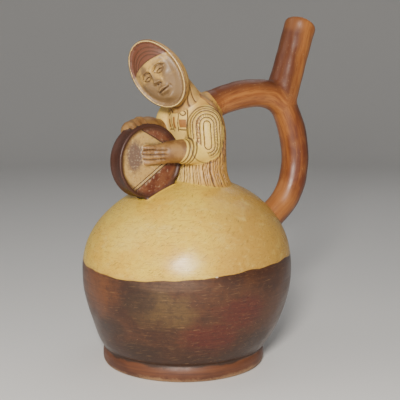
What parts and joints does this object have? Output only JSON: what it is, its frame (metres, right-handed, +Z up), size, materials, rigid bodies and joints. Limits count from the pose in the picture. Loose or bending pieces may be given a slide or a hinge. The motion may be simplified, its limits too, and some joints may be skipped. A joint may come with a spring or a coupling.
{
  "type": "stirrup spout vessel",
  "caption": "Hollow fired clay bottle: a round chamber on a ring foot, a seated drummer on its crown, and a stirrup handle rising behind to a straight spout.",
  "frame": {"origin": "centre of the flat underside of the ring foot", "axes": "+Z up; +Y towards the stirrup and spout, which stand in the plane x = 0; the drummer sits towards -Y"},
  "size_m": [0.15, 0.1848, 0.2449],
  "materials": {
    "fired_clay": "burnished cream and red slip over orange clay, worn"
  },
  "bodies": {
    "root": {"stirrup_spout_vessel": "fired_clay"}
  },
  "joints": []
}
